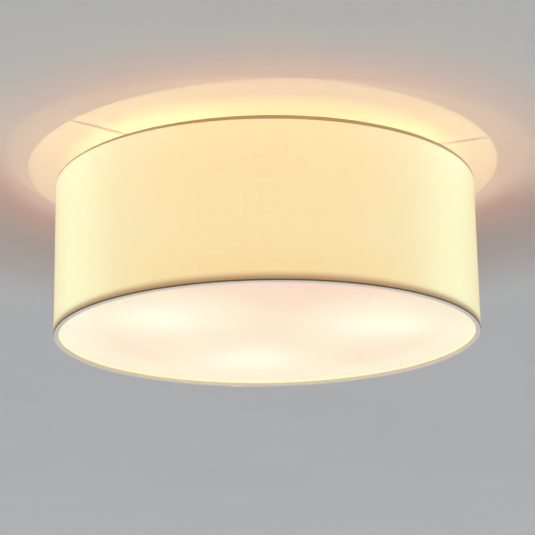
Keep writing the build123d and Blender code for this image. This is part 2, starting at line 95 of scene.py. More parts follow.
# %% [markdown]
# ## Camera
#
# The viewer stands a little below the light and looks up at it through a long lens, so the drum shows
# its side and a thin ellipse of the disc. A camera is aimed by three directions of its own: right, up
# and back. They are worked out from the turn, the pitch and the roll, and written as the columns of
# its matrix, which is exact where a tracking constraint would lose the roll.

# %% Camera
camera_place = Vector((-0.2720, -1.7176, -0.6096))
turn, pitch, roll = radians(-9.04), radians(16.38), radians(-0.87)
level_forward = Vector((-sin(turn), cos(turn), 0))
forward = level_forward * cos(pitch) + Vector((0, 0, sin(pitch)))
right = level_forward.cross(Vector((0, 0, 1)))
up = right.cross(forward)
right, up = right * cos(roll) + up * sin(roll), up * cos(roll) - right * sin(roll)

camera_data = bpy.data.cameras.new("viewer")
camera_data.sensor_width = 36
camera_data.lens = 128.2
camera_data.clip_start, camera_data.clip_end = 0.05, 60
camera = bpy.data.objects.new("viewer", camera_data)
bpy.context.scene.collection.objects.link(camera)
aim = Matrix((right, up, -forward)).transposed().to_4x4()
camera.matrix_world = Matrix.Translation(camera_place) @ aim
bpy.context.scene.camera = camera
bpy.context.scene.view_settings.view_transform = "Standard"
print("camera looks along", [round(v, 3) for v in forward])

# %% [markdown]
# ## Tools for materials
#
# A finish here is a small network of nodes: where a point lies on the piece, some noise or threads
# worked out from that, and a surface shader. Written out node by node that is long, so a few helpers
# say the same in one line each. A painted colour is written as the eye would read it off a swatch,
# from 0 to 255, and turned into the linear light that the shader adds up. A glow is written as linear
# light from the start.

# %% Colours
def paint(red, green, blue):
    """A swatch colour from 0 to 255, as linear red, green, blue and alpha."""
    linear = []
    for value in (red, green, blue):
        v = value / 255
        linear.append(v / 12.92 if v <= 0.04045 else ((v + 0.055) / 1.055) ** 2.4)
    return (*linear, 1.0)


def light(red, green, blue):
    """A linear colour as the four numbers that a colour socket takes."""
    return (red, green, blue, 1.0)


unlit = light(0, 0, 0)
fully_lit = light(1, 1, 1)

# %% A finish: one material and the nodes in it
noise_low, noise_high = 0.3, 0.7  # most of a noise lies between these two values


class Finish:
    """A material whose nodes are added and joined by the methods below."""

    def __init__(self, name, **sockets):
        self.material = bpy.data.materials.new(name)
        self.material.use_nodes = True
        self.tree = self.material.node_tree
        self.shader = self.tree.nodes["Principled BSDF"]
        self.place = self.add("ShaderNodeTexCoord").outputs["Object"]
        self.set(**sockets)

    def feed(self, socket, value):
        """Joins another node's result to a socket, or sets the socket to a constant."""
        if isinstance(value, bpy.types.NodeSocket):
            self.tree.links.new(value, socket)
        else:
            socket.default_value = value

    def set(self, **sockets):
        """Feeds sockets of the surface shader, with an underscore for each space in a name."""
        for socket, value in sockets.items():
            self.feed(self.shader.inputs[socket.replace("_", " ")], value)

    def add(self, kind, *inputs, **settings):
        """Adds a node with these settings and feeds its sockets in their order."""
        node = self.tree.nodes.new(kind)
        for key, value in settings.items():
            setattr(node, key, value)
        for socket, value in zip(node.inputs, inputs):
            self.feed(socket, value)
        return node

    def math(self, operation, *inputs):
        return self.add("ShaderNodeMath", *inputs, operation=operation).outputs[0]

    def fold(self, operation, result, *others):
        """One operation carried along a row of values, such as their sum or their product."""
        for value in others:
            result = self.math(operation, result, value)
        return result

    def vector(self, operation, *inputs):
        """A vector, or the number that a length, a distance or a dot product comes to."""
        node = self.add("ShaderNodeVectorMath", *inputs, operation=operation)
        gives_number = operation in ("LENGTH", "DISTANCE", "DOT_PRODUCT")
        return node.outputs["Value" if gives_number else "Vector"]

    def axes(self):
        """The place along x, y and z."""
        return self.add("ShaderNodeSeparateXYZ", self.place).outputs

    def flat(self):
        """The place with its height left out."""
        return self.vector("MULTIPLY", self.place, (1, 1, 0))

    def from_axis(self):
        """The distance from the drum's axis."""
        return self.vector("LENGTH", self.flat())

    def stretched(self, x, y, z):
        """The place, scaled by its own number along each axis."""
        mapping = self.add("ShaderNodeMapping", self.place)
        mapping.inputs["Scale"].default_value = (x, y, z)
        return mapping.outputs[0]

    def noise(self, scale, detail=2, where=None, roughness=0.5):
        node = self.add("ShaderNodeTexNoise", where or self.place)
        node.inputs["Scale"].default_value = scale
        node.inputs["Detail"].default_value = detail
        node.inputs["Roughness"].default_value = roughness
        return node.outputs[0]

    def between(self, value, low, high, out_low=0.0, out_high=1.0, smooth=True):
        """value from low to high, spread over out_low to out_high and held there."""
        node = self.add("ShaderNodeMapRange", value, low, high, out_low, out_high)
        node.interpolation_type = "SMOOTHSTEP" if smooth else "LINEAR"
        return node.outputs[0]

    def varied(self, noise, low, high):
        """A number that follows a noise from low to high."""
        return self.between(noise, noise_low, noise_high, low, high)

    def ramp(self, factor, *stops):
        """A colour worked out from a number, by stops of a position and a colour each."""
        node = self.add("ShaderNodeValToRGB", factor)
        elements = node.color_ramp.elements
        while len(elements) < len(stops):
            elements.new(0.5)
        for element, (position, colour) in zip(elements, stops):
            element.position, element.color = position, colour
        return node.outputs[0]

    def clouded(self, noise, dark, bright):
        """A colour that follows a noise from dark to bright."""
        return self.ramp(noise, (noise_low, dark), (noise_high, bright))

    def mix(self, factor, first, second, blend="MIX"):
        """Two colours mixed. The node's colour sockets are inputs 6 and 7 and output 2."""
        node = self.add("ShaderNodeMix", factor, data_type="RGBA", blend_type=blend)
        self.feed(node.inputs[6], first)
        self.feed(node.inputs[7], second)
        return node.outputs[2]

    def tinted(self, colour, tint, share=1.0):
        """A colour multiplied by a tint, wholly or by a share."""
        return self.mix(share, colour, tint, "MULTIPLY")

    def bump(self, height, distance, strength):
        """Fine relief from a height between 0 and 1, where 1 stands distance metres out."""
        node = self.add("ShaderNodeBump")
        node.inputs["Strength"].default_value = strength
        node.inputs["Distance"].default_value = distance
        self.feed(node.inputs["Height"], height)
        self.feed(self.shader.inputs["Normal"], node.outputs[0])


def dress(finish, *names):
    """Gives solids this finish in place of their plain one."""
    for name in names:
        slots = nodes[name].data.materials
        if not slots:
            slots.append(finish.material)
        for i in range(len(slots)):
            slots[i] = finish.material
    print(finish.material.name, "on", ", ".join(names))


# %% [markdown]
# ## The lamps' light in the cloth
#
# Lit cloth is brightest where it is near a lamp and square to it. The light that reaches the wall from
# one lamp is the cosine of its slant over the square of its distance. Summed over the three lamps,
# this gives the slow swell of brightness round the drum. The opal bulbs are tall, so it hardly
# changes with height and is worked out in plan. The centres of the glow lie 25 mm further out than
# the lamps, and the front two are turned by about 10 degrees, because the disc, the pan and the wall
# throw light on too. The shader works the sum out at each point, and the same sum in plain code gives
# its least and greatest value.

# %% Light of the three lamps on the wall
glow_circle_radius = 0.12
glow_azimuths = (90, 199, 321)
glow_centres = [on_circle(glow_circle_radius, azimuth) for azimuth in glow_azimuths]


def wall_light(azimuth):
    """The lamps' light on the inside of the wall at this azimuth, per unit of power."""
    outwards = Vector(on_circle(1.0, azimuth))
    total = 0
    for centre in glow_centres:
        step = drum_radius * outwards - Vector(centre)
        total += max(0, step.dot(outwards)) / step.length**3
    return total


wall_levels = [wall_light(azimuth) for azimuth in range(0, 360, 5)]
wall_dim, wall_bright = min(wall_levels), max(wall_levels)
print("light on the wall from", round(wall_dim), "between lamps to", round(wall_bright), "at a lamp")


def add_wall_light(finish):
    """Nodes for the same sum."""
    flat = finish.flat()
    outwards = finish.vector("NORMALIZE", flat)
    shares = []
    for centre in glow_centres:
        step = finish.vector("SUBTRACT", flat, centre)
        slant = finish.math("MAXIMUM", finish.vector("DOT_PRODUCT", step, outwards), 0.0)
        cube = finish.math("POWER", finish.vector("LENGTH", step), 3.0)
        shares.append(finish.math("DIVIDE", slant, cube))
    return finish.fold("ADD", *shares)


# %% [markdown]
# ## Shade cloth: the finish
#
# The wall is a fine plain weave in cream, glued to a translucent sheet and lit from inside. Threads
# are worked out from the angle round the drum and from the height, so they run true round the whole
# wall and on over the rolled edges. A whole number of threads round the drum hides where they start.
# The threads are uneven, as spun thread is: long faint noise along each direction stands for slubs.
#
# The wire rings and the rolled cloth are thicker than the wall, so less light comes through there.
# A brown line of about 4 mm at the top and a graded band of 10 mm at the bottom show it as painted
# shade, in the glow and in the base colour, and the rolled underside is barely lit. At the seam there
# are two layers, so that strip is a little darker.

# %% Threads on a round wall
threads_round = 1600
thread_pitch = 2 * pi * drum_radius / threads_round
upright_slubs = (900, 900, 14)  # scale of the noise along x, y and z
level_slubs = (14, 14, 1100)


def add_threads(finish, distance):
    """A plain weave on the drum: height of the threads, and their unevenness, both from 0 to 1."""
    x, y, z = finish.axes()
    angle = finish.math("ARCTAN2", y, x)
    half = finish.math("SIGN", finish.math("SUBTRACT", z, (drum_top + drum_bottom) / 2))
    inwards = finish.math("SUBTRACT", drum_radius, distance)
    along = finish.math("MULTIPLY_ADD", inwards, half, z)
    warp = finish.math("SINE", finish.math("MULTIPLY", angle, threads_round / 2))
    weft = finish.math("SINE", finish.math("MULTIPLY", along, pi / thread_pitch))
    weave = finish.math("MULTIPLY_ADD", finish.math("MULTIPLY", warp, weft), 0.5, 0.5)
    upright = finish.noise(1.0, 3, finish.stretched(*upright_slubs))
    level = finish.noise(1.0, 3, finish.stretched(*level_slubs))
    slubs = finish.math("MULTIPLY", finish.math("ADD", upright, level), 0.5)
    return weave, slubs


print("threads", round(thread_pitch * 1000, 3), "mm apart")

# %% [markdown]
# The tones of the wall come and go between two heights. Each pair below says where a tone begins and
# where it is full, in metres above the drum's bottom edge, and for the two at the head in metres
# below its top edge.

# %% Heights of the wall's tones
yellow_wall = (0.055, 0.010)
graded_band = (0.0115, 0.0018)
# The next three pairs place painted shade in the base colour: a brown band and a dark line at the
# bottom.
painted_shade_band = (0.0105, 0.0028)
roll_line_from_above = (0.0030, 0.0020)
roll_line_from_below = (0.0009, 0.0014)
hem = (0.0016, 0.0008)
lip_only = (0.020, 0.010)
pale_wall = (0.045, 0.005)
# How far below the top edge the top line's painted shade reaches, less on the left than on the right.
top_line_left, top_line_right = 0.0034, 0.0045
line_edge = 0.0008
wall_edge = 0.0012
lap_edge = (0.0077, 0.0074)
print("graded band", round(1000 * graded_band[0], 1), "mm, top line", 1000 * top_line_right, "mm")

# %% Shade cloth finish
cloth = Finish("cream_cloth", Roughness=0.85, Sheen_Weight=0.25, Sheen_Roughness=0.4,
               Specular_IOR_Level=0.2)
distance = cloth.from_axis()
across, behind, height = cloth.axes()
weave, slubs = add_threads(cloth, distance)


def above_bottom(heights):
    """From 0 to 1 between two heights above the drum's bottom edge."""
    start, full = heights
    return cloth.between(height, drum_bottom + start, drum_bottom + full)


# The glow of the open wall: bright and pale at the lamps, yellower between them and low down.
near_lamp = cloth.between(add_wall_light(cloth), wall_dim, wall_bright, smooth=False)
glow = cloth.ramp(near_lamp, (0.0, light(0.505, 0.385, 0.165)),
                  (0.5, light(0.515, 0.46, 0.245)), (1.0, light(0.56, 0.628, 0.375)))
glow = cloth.tinted(glow, cloth.clouded(slubs, light(0.96, 0.955, 0.94), fully_lit))
glow = cloth.tinted(glow, cloth.ramp(weave, (0.0, light(0.95, 0.94, 0.92)), (1.0, fully_lit)))
low_wall = cloth.math("MULTIPLY", above_bottom(yellow_wall), cloth.between(near_lamp, 0.7, 0.1))
glow = cloth.tinted(glow, light(0.97, 0.92, 0.76), low_wall)
high_wall = cloth.between(height, drum_top - pale_wall[0], drum_top - pale_wall[1])
glow = cloth.tinted(glow, light(0.985, 1.02, 1.14), high_wall)
lap = cloth.math("MULTIPLY", cloth.between(cloth.math("ABSOLUTE", across), *lap_edge),
                 cloth.between(behind, 0.1, 0.11))
glow = cloth.tinted(glow, light(0.84, 0.81, 0.76), lap)

# The rings and the rolls take light away: a line at the top, a band at the bottom.
on_wall = cloth.between(distance, drum_radius - wall_edge, drum_radius - 0.0002)
line_foot = cloth.between(across, -0.19, -0.02, drum_top - top_line_left, drum_top - top_line_right)
above_line_foot = cloth.math("SUBTRACT", height, line_foot)
top_line = cloth.between(above_line_foot, 0.0, line_edge, 1.0, 0.3)
foot_shadow = cloth.between(
    height, drum_bottom + graded_band[1], drum_bottom + graded_band[0], 0.1, 1.0)
lit = cloth.fold("MULTIPLY", top_line, foot_shadow, on_wall)
inside_lip = cloth.math(
    "MULTIPLY", cloth.between(height, bottom_ring_level + 0.0006, bottom_ring_level + 0.0022),
    cloth.between(distance, ring_radius - 0.0004, ring_radius - 0.0016))
lit = cloth.math("ADD", lit, cloth.math("MULTIPLY", inside_lip, above_bottom(lip_only)))
glow = cloth.mix(inside_lip, glow, light(0.475, 0.43, 0.33))
glow = cloth.mix(lit, unlit, glow)
hem_glow = above_bottom(hem)
glow = cloth.mix(hem_glow, glow, light(0.12, 0.115, 0.105))

# Base colour: cream on the wall, and on the rolls a paler copy of the same cloth that stands in for the
# light the rolled rim catches. Where the rings block the light from inside, shade is painted in: a
# brown line at the top, a brown band and a dark line at the bottom.
wall_shade = cloth.clouded(slubs, paint(222, 202, 166), paint(230, 210, 175))
hem_shade = cloth.clouded(slubs, paint(232, 225, 213), paint(242, 236, 226))
shade = cloth.mix(on_wall, hem_shade, wall_shade)
# Painted shade of the top ring: brown from the top line's foot upwards.
shade = cloth.mix(cloth.between(above_line_foot, 0.0, line_edge), shade, paint(172, 134, 92))
outer_half = cloth.between(distance, ring_radius, ring_radius + 0.0006)
# Painted shade of the bottom ring and the disc's edge: a brown band on the outside.
band_painted_shade = cloth.math("MULTIPLY", above_bottom(painted_shade_band), outer_half)
shade = cloth.mix(band_painted_shade, shade, paint(206, 160, 118))
shade = cloth.mix(hem_glow, shade, hem_shade)
# Painted shade: a dark line low on the outside, where the wall turns into the roll.
painted_dark_line = cloth.fold(
    "MULTIPLY", above_bottom(roll_line_from_above), above_bottom(roll_line_from_below), outer_half)
shade = cloth.mix(painted_dark_line, shade, paint(92, 66, 50))

cloth.set(Base_Color=shade, Emission_Color=glow, Emission_Strength=1.0)
cloth.bump(cloth.math("MULTIPLY_ADD", slubs, 0.4, weave), distance=0.00006, strength=0.6)
print(cloth.material.name, "has", len(cloth.tree.nodes), "nodes")

# %% [markdown]
# ## Shade cloth: the shape
#
# The real cloth is one long strip. It is glued round the drum, and its edges are rolled round the two
# wire rings. A cylinder with rounded edges would miss the rolls, so this one is made as it is sewn:
# a section of the strip, with an open loop at each end, is drawn in the upright plane and spun round
# the axis. A Solidify modifier then gives the cloth its half millimetre.

# %% Helpers for mesh work
def clear_selection():
    if bpy.context.object and bpy.context.object.mode != "OBJECT":
        bpy.ops.object.mode_set(mode="OBJECT")
    bpy.ops.object.select_all(action="DESELECT")


def choose(first, *others):
    """Selects only these pieces, and makes the first one active."""
    clear_selection()
    for piece in (first, *others):
        piece.select_set(True)
    bpy.context.view_layer.objects.active = first


def join(first, *others):
    """Makes the other pieces part of the first."""
    choose(first, *others)
    bpy.ops.object.join()
    return first


def into_mesh(piece):
    """Moves the piece's place and turn into its mesh."""
    choose(piece)
    bpy.ops.object.transform_apply(location=True, rotation=True, scale=True)


def add_modifier(piece, kind, **settings):
    """Adds a modifier and applies it."""
    choose(piece)
    modifier = piece.modifiers.new(kind.title(), kind)
    for key, value in settings.items():
        setattr(modifier, key, value)
    bpy.ops.object.modifier_apply(modifier=modifier.name)


def pick(piece, test, kind="VERT"):
    """In edit mode, selects only the vertices or faces that pass a test of their place."""
    bpy.ops.mesh.select_mode(type=kind)
    bpy.ops.mesh.select_all(action="DESELECT")
    bpy.ops.object.mode_set(mode="OBJECT")
    items = piece.data.vertices if kind == "VERT" else piece.data.polygons
    for item in items:
        item.select = test(item.co if kind == "VERT" else item.center)
    chosen = sum(item.select for item in items)
    bpy.ops.object.mode_set(mode="EDIT")
    return chosen


def hand_over(piece, name, finish, body, replaced):
    """Names a finished piece, gives it its finish and lets it ride on its body."""
    piece.name = piece.data.name = name
    piece.data.materials.clear()
    piece.data.materials.append(finish.material)
    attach(piece, body)
    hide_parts(replaced)
    print(name, "vertices", len(piece.data.vertices), "faces", len(piece.data.polygons))


# %% The strip's section
loop_vertices = 32
wall_cuts = 19
loop_end_margin = 1  # degrees by which a vertex may miss the end of its loop


def rolled_strip(extra, wrap):
    """The section of a strip that is rolled by wrap degrees round both rings, extra further out."""
    radius = roll_radius + extra
    loops = []
    for level, side in ((top_ring_level, 1), (bottom_ring_level, -1)):
        clear_selection()
        bpy.ops.mesh.primitive_circle_add(
            vertices=loop_vertices, radius=radius, location=(ring_radius, 0, level),
            rotation=(pi / 2, 0, 0))
        loop = bpy.context.object
        into_mesh(loop)
        bpy.ops.object.mode_set(mode="EDIT")

        def in_gap(place, side=side, level=level):
            angle = degrees(atan2((place.z - level) * side, place.x - ring_radius)) % 360
            return wrap + loop_end_margin < angle < 360 - loop_end_margin

        pick(loop, in_gap)
        bpy.ops.mesh.delete(type="VERT")
        bpy.ops.object.mode_set(mode="OBJECT")
        loops.append(loop)
    strip = join(*reversed(loops))
    bpy.ops.object.mode_set(mode="EDIT")
    reach = ring_radius + radius - 1e-6
    pick(strip, lambda place: place.x > reach)
    bpy.ops.mesh.edge_face_add()
    bpy.ops.mesh.subdivide(number_cuts=wall_cuts)
    bpy.ops.object.mode_set(mode="OBJECT")
    print("section", len(strip.data.vertices), "vertices")
    return strip


# %% Spin the cloth and roll its edges
columns = 384
cloth_wrap = 270
drum = rolled_strip(0, cloth_wrap)
bpy.ops.object.mode_set(mode="EDIT")
bpy.ops.mesh.select_all(action="SELECT")
bpy.ops.mesh.spin(steps=columns, angle=2 * pi, center=(0, 0, 0), axis=(0, 0, 1))
bpy.ops.mesh.select_all(action="SELECT")
bpy.ops.mesh.remove_doubles(threshold=1e-5)
bpy.ops.mesh.normals_make_consistent(inside=False)
bpy.ops.object.mode_set(mode="OBJECT")
print("spun wall", len(drum.data.polygons), "faces")

# %% [markdown]
# The arms are welded to the top ring, so the rolled cloth is slit there to let each arm through. The
# faces of the roll's inner side round each arm are picked by their place and deleted before the cloth
# gets its thickness.

# %% Slits for the arms
slit_half_angle = 0.95
slit_top = top_ring_level + 0.0019
slit_foot = drum_top - 3 * roll_radius


def at_slit(place):
    if not slit_foot <= place.z <= slit_top or hypot(place.x, place.y) > ring_radius:
        return False
    azimuth = degrees(atan2(place.y, place.x))
    return any(abs((azimuth - lamp + 180) % 360 - 180) < slit_half_angle for lamp in lamp_azimuths)


bpy.ops.object.mode_set(mode="EDIT")
cut = pick(drum, at_slit, "FACE")
bpy.ops.mesh.delete(type="FACE")
bpy.ops.object.mode_set(mode="OBJECT")
print("faces cut for the arms", cut)

# %% Thickness of the cloth
smooth_below = radians(35)
add_modifier(drum, "SOLIDIFY", thickness=cloth_thickness, offset=-1, use_even_offset=True)
bpy.ops.object.shade_smooth_by_angle(angle=smooth_below)
hand_over(drum, "rolled_cloth", cloth, "shade", "shade_cloth")

# %% [markdown]
# ## Seam
#
# The strip's end laps over its start behind the first lamp. It is a second narrow strip with the same
# section, a little further out, and it is spun over 15 mm only.

# %% Seam lap
lap_thickness = 0.0004
lap_wrap = 120
seam_low, seam_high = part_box("seam_lap")
seam_angle = (seam_high.x - seam_low.x) / drum_radius
seam = rolled_strip(seam_high.y - drum_radius, lap_wrap)
bpy.ops.object.mode_set(mode="EDIT")
bpy.ops.mesh.select_all(action="SELECT")
bpy.ops.transform.rotate(
    value=-(pi / 2 + seam_angle / 2), orient_axis="Z", center_override=(0, 0, 0))
bpy.ops.mesh.spin(steps=8, angle=seam_angle, center=(0, 0, 0), axis=(0, 0, 1))
bpy.ops.mesh.select_all(action="SELECT")
bpy.ops.mesh.normals_make_consistent(inside=False)
bpy.ops.object.mode_set(mode="OBJECT")
corners = [vertex.co for vertex in seam.data.vertices]
print("seam from x", round(min(c.x for c in corners), 4), "to", round(max(c.x for c in corners), 4),
      "y", round(max(c.y for c in corners), 4))
add_modifier(seam, "SOLIDIFY", thickness=lap_thickness, offset=-1)
bpy.ops.object.shade_smooth_by_angle(angle=smooth_below)
hand_over(seam, "cloth_seam", cloth, "shade", "seam_lap")

# %% [markdown]
# ## Opal disc
#
# The disc is a flat sheet of opal acrylic, so its solid needs no new shape. Its look is all in the
# light: three soft bright patches on a warm white sheet, each a little further out than its lamp.
# A patch falls off like the light of a small lamp behind milky plastic, slowly and without an edge.
# The far part of the rim is brighter too, where the lit wall stands beside it.

# %% Opal disc finish
patch_places = ((90, 0.108), (205, 0.120), (334, 0.116))  # azimuth and distance from the axis
patch_width = 0.062
disc_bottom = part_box("opal_disc")[0].z

opal = Finish("opal_acrylic_lit", Specular_IOR_Level=0.4, IOR=1.49)
falls = []
for azimuth, patch_radius in patch_places:
    away = opal.vector("DISTANCE", opal.place, on_circle(patch_radius, azimuth, disc_bottom))
    squared = opal.math("POWER", opal.math("DIVIDE", away, patch_width), 2.0)
    falls.append(opal.math("EXPONENT", opal.math("MULTIPLY", squared, -1.0)))
depth = opal.axes()[1]
far_rim = opal.math("MULTIPLY", opal.between(opal.from_axis(), 0.13, 0.19, 0.0, 0.7),
                    opal.between(depth, -0.15, -0.05))
far_part = opal.between(depth, -0.12, 0.02, 0.0, 0.11)
patches = opal.fold("MAXIMUM", opal.fold("ADD", *falls), far_rim, far_part)
sheet_glow = opal.ramp(patches, (0.0, light(0.545, 0.305, 0.175)), (0.14, light(0.55, 0.415, 0.235)),
                       (0.5, light(0.56, 0.48, 0.29)), (1.0, light(0.58, 0.58, 0.40)))
haze = opal.noise(18, 3)
sheet_glow = opal.tinted(sheet_glow, opal.clouded(haze, light(0.98, 0.975, 0.97), fully_lit))
opal.set(Base_Color=opal.clouded(haze, paint(228, 222, 214), paint(234, 229, 222)),
         Emission_Color=sheet_glow, Emission_Strength=1.0,
         Roughness=opal.varied(opal.noise(240), 0.33, 0.43))
opal.bump(opal.noise(900), distance=0.00002, strength=0.4)
dress(opal, "opal_disc")

# %% [markdown]
# ## Metal, plastic and wire
#
# The hidden pieces keep the solids' shapes and get finishes with the small unevenness of the real
# ones: powder coat has a fine orange peel, zinc plate a soft cloudy grain, brass and nickel faint
# rubbing, and moulded plastic a matt skin.

# %% Painted steel
powder = Finish("white_powder_coat", Coat_Weight=0.15, Coat_Roughness=0.3)
peel = powder.noise(1400)
powder.set(Base_Color=powder.clouded(powder.noise(30, 3), paint(228, 227, 222), paint(236, 235, 231)),
           Roughness=powder.varied(peel, 0.38, 0.52))
powder.bump(peel, distance=0.00004, strength=0.5)
dress(powder, "ceiling_pan")

dipped = Finish("white_dipped_wire", Coat_Weight=0.3, Coat_Roughness=0.2)
dipped.set(Base_Color=dipped.clouded(dipped.noise(160, 3), paint(220, 219, 212), paint(232, 231, 225)),
           Roughness=dipped.varied(dipped.noise(700), 0.3, 0.48))
dipped.bump(dipped.noise(500), distance=0.00005, strength=0.4)
dress(dipped, "top_ring", "bottom_ring", "carrier_arms")

# %% Plated metal
def plated(name, dark, bright, smooth_from, smooth_to):
    """A bare or plated metal with a cloudy grain and fine rubbing."""
    finish = Finish(name, Metallic=1.0)
    cloud = finish.noise(260, 4, roughness=0.6)
    rubbed = finish.noise(1.0, 3, finish.stretched(2600, 2600, 300))
    finish.set(Base_Color=finish.clouded(cloud, paint(*dark), paint(*bright)),
               Roughness=finish.varied(rubbed, smooth_from, smooth_to))
    finish.bump(rubbed, distance=0.00001, strength=0.5)
    return finish


zinc = plated("bright_zinc", (178, 180, 178), (206, 206, 202), 0.28, 0.45)
dress(zinc, "mounting_strap", "strap_screws", "terminal_screws", "earth_screw", "holder_screws")
nickel = plated("satin_nickel", (196, 192, 184), (216, 212, 204), 0.2, 0.34)
dress(nickel, "cap_nuts", "cap_washers", "nut_washers", *trio("knurled_nut"))
brass = plated("pressed_brass", (196, 158, 88), (222, 188, 116), 0.22, 0.4)
dress(brass, "terminal_tubes", *trio("holder_sleeve"), *trio("holder_contact"))
tin = plated("tinned_copper", (184, 182, 176), (204, 202, 198), 0.3, 0.5)
dress(tin, "earth_lug")
solder = plated("lead_free_solder", (164, 164, 162), (186, 186, 184), 0.35, 0.5)
dress(solder, *trio("bulb_end_contact"))

# %% Moulded plastic and insulation
def moulded(name, dark, bright, smooth_from, smooth_to, grain):
    """A moulded skin: a fine grain in its gloss, and a slow drift in its colour."""
    finish = Finish(name, Specular_IOR_Level=0.45)
    skin = finish.noise(grain)
    finish.set(Base_Color=finish.clouded(finish.noise(90, 3), paint(*dark), paint(*bright)),
               Roughness=finish.varied(skin, smooth_from, smooth_to))
    finish.bump(skin, distance=0.00002, strength=0.5)
    return finish


holder = moulded("white_thermoset", (222, 220, 212), (234, 232, 226), 0.42, 0.56, 1800)
dress(holder, *trio("lamp_holder"))
nylon = moulded("natural_nylon", (214, 210, 196), (228, 224, 212), 0.4, 0.55, 1200)
dress(nylon, "terminal_block")
vitrite = moulded("black_vitrite", (18, 18, 20), (30, 30, 33), 0.12, 0.24, 600)
dress(vitrite, *trio("bulb_insulator"))
brown = moulded("brown_insulation", (88, 50, 30), (104, 60, 38), 0.4, 0.52, 1500)
dress(brown, "live_leads")
blue = moulded("blue_insulation", (36, 84, 158), (46, 98, 178), 0.4, 0.52, 1500)
dress(blue, "neutral_leads")

# %% Green and yellow insulation
earth = Finish("green_yellow_insulation", Specular_IOR_Level=0.45)
earth_low, earth_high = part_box("earth_lead")
earth_middle = (earth_low.z + earth_high.z) / 2
stripe_edge = 0.0002
stripe = earth.between(earth.axes()[2], earth_middle - stripe_edge, earth_middle + stripe_edge)
skin = earth.noise(1500)
green = earth.clouded(skin, paint(44, 128, 52), paint(54, 144, 62))
yellow = earth.clouded(skin, paint(214, 190, 44), paint(228, 206, 58))
earth.set(Base_Color=earth.mix(stripe, green, yellow), Roughness=earth.varied(skin, 0.4, 0.52))
dress(earth, "earth_lead")

# %% Liner sheet
liner = Finish("lit_laminate", Specular_IOR_Level=0.4)
grain = liner.noise(500, 3)
liner_glow = liner.clouded(liner.noise(20), light(0.46, 0.37, 0.2), light(0.5, 0.41, 0.23))
liner.set(Base_Color=liner.clouded(grain, paint(238, 232, 214), paint(244, 239, 224)),
          Roughness=liner.varied(grain, 0.45, 0.6),
          Emission_Color=liner_glow, Emission_Strength=1.0)
liner.bump(grain, distance=0.00002, strength=0.4)
dress(liner, "shade_liner")

# %% [markdown]
# ## Bulbs
#
# Each globe is opal glass with a lamp burning inside, brightest low down and dimmer at the neck where
# the glass is thicker and the cap throws a shadow.

# %% Opal globes
globe = Finish("opal_glass_lit", Coat_Weight=0.5, Coat_Roughness=0.05, Specular_IOR_Level=0.5)
neck_dim = globe.between(globe.axes()[2], lamp_level + 0.046, lamp_level + 0.012, 0.55, 1.0)
milk = globe.noise(70, 3)
glass_glow = globe.clouded(milk, light(0.72, 0.60, 0.38), light(0.78, 0.67, 0.44))
globe.set(Base_Color=globe.clouded(milk, paint(236, 232, 222), paint(242, 239, 231)),
          Roughness=globe.varied(milk, 0.12, 0.2),
          Emission_Color=globe.mix(neck_dim, unlit, glass_glow), Emission_Strength=1.0)
dress(globe, *trio("bulb_globe"))

# %% [markdown]
# ## Rolled threads
#
# The screw cap of a bulb is thin sheet rolled into a round, deep thread, and it shows when a bulb is
# unscrewed or the shade comes down. The studs under the pan have a fine thread of the same kind. Both
# start as a disc that is drawn up in small steps, and then each point goes in or out along a wave that
# climbs one pitch for each turn. The crests keep to the solid's radius, so a cap still turns freely in
# its holder and a nut on its stud.

# %% A rod or shell with a thread
def limited(share):
    """Keeps a share between 0 and 1."""
    return min(1, max(0, share))


def rolled_thread(centre, low, high, radius, pitch, depth, plain, sides, steps, drawn_in):
    """An upright thread over a plain foot, with rings at some levels drawn in by their own amounts."""
    clear_selection()
    bpy.ops.mesh.primitive_circle_add(
        vertices=sides, radius=radius, fill_type="NGON", location=(0, 0, low))
    rod = bpy.context.object
    into_mesh(rod)
    bpy.ops.object.mode_set(mode="EDIT")
    bpy.ops.mesh.select_all(action="SELECT")
    step = (high - low) / steps
    for _ in range(steps):
        bpy.ops.mesh.extrude_region_move(TRANSFORM_OT_translate={"value": (0, 0, step)})
    pick(rod, lambda place: place.z < low + step / 4)
    bpy.ops.mesh.edge_face_add()
    bpy.ops.object.mode_set(mode="OBJECT")
    for vertex in rod.data.vertices:
        x, y, z = vertex.co
        turns = (z - low) / pitch - atan2(y, x) / (2 * pi)
        runs_in = limited((z - low - plain) / pitch * 4)  # to its depth in a quarter of a pitch
        runs_out = limited((high - z) / pitch * 2 - 0.5)  # and away again over half a pitch
        inwards = depth * runs_in * runs_out * (0.5 - 0.5 * cos(2 * pi * turns))
        for level, amount in drawn_in:
            if abs(z - level) < step * 0.6:
                inwards = amount
        vertex.co.x, vertex.co.y = x * (1 - inwards / radius), y * (1 - inwards / radius)
    bpy.ops.object.mode_set(mode="EDIT")
    bpy.ops.mesh.select_all(action="SELECT")
    bpy.ops.mesh.normals_make_consistent(inside=False)
    bpy.ops.transform.translate(value=(centre[0], centre[1], 0))
    bpy.ops.object.mode_set(mode="OBJECT")
    bpy.ops.object.shade_smooth_by_angle(angle=radians(40))
    return rod


# %% A cap on each bulb, with a crimped groove in its skirt and a drawn-in shoulder
cap_low, cap_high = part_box("bulb_cap_1")
cap_radius = (cap_high.x - cap_low.x) / 2
crimp = (cap_low.z + 0.0015, 0.0003)
shoulder = [(cap_high.z - 0.0005, cap_radius / 25), (cap_high.z, cap_radius / 10)]
shell = plated("bulb_cap_metal", (190, 186, 176), (212, 208, 198), 0.26, 0.42)
for number, centre in enumerate(lamps, start=1):
    cap = rolled_thread(centre, cap_low.z, cap_high.z, cap_radius, pitch=0.00363, depth=0.0009,
                        plain=0.0052, sides=72, steps=48, drawn_in=[crimp, *shoulder])
    hand_over(cap, f"rolled_cap_{number}", shell, f"bulb_{number}", f"bulb_cap_{number}")

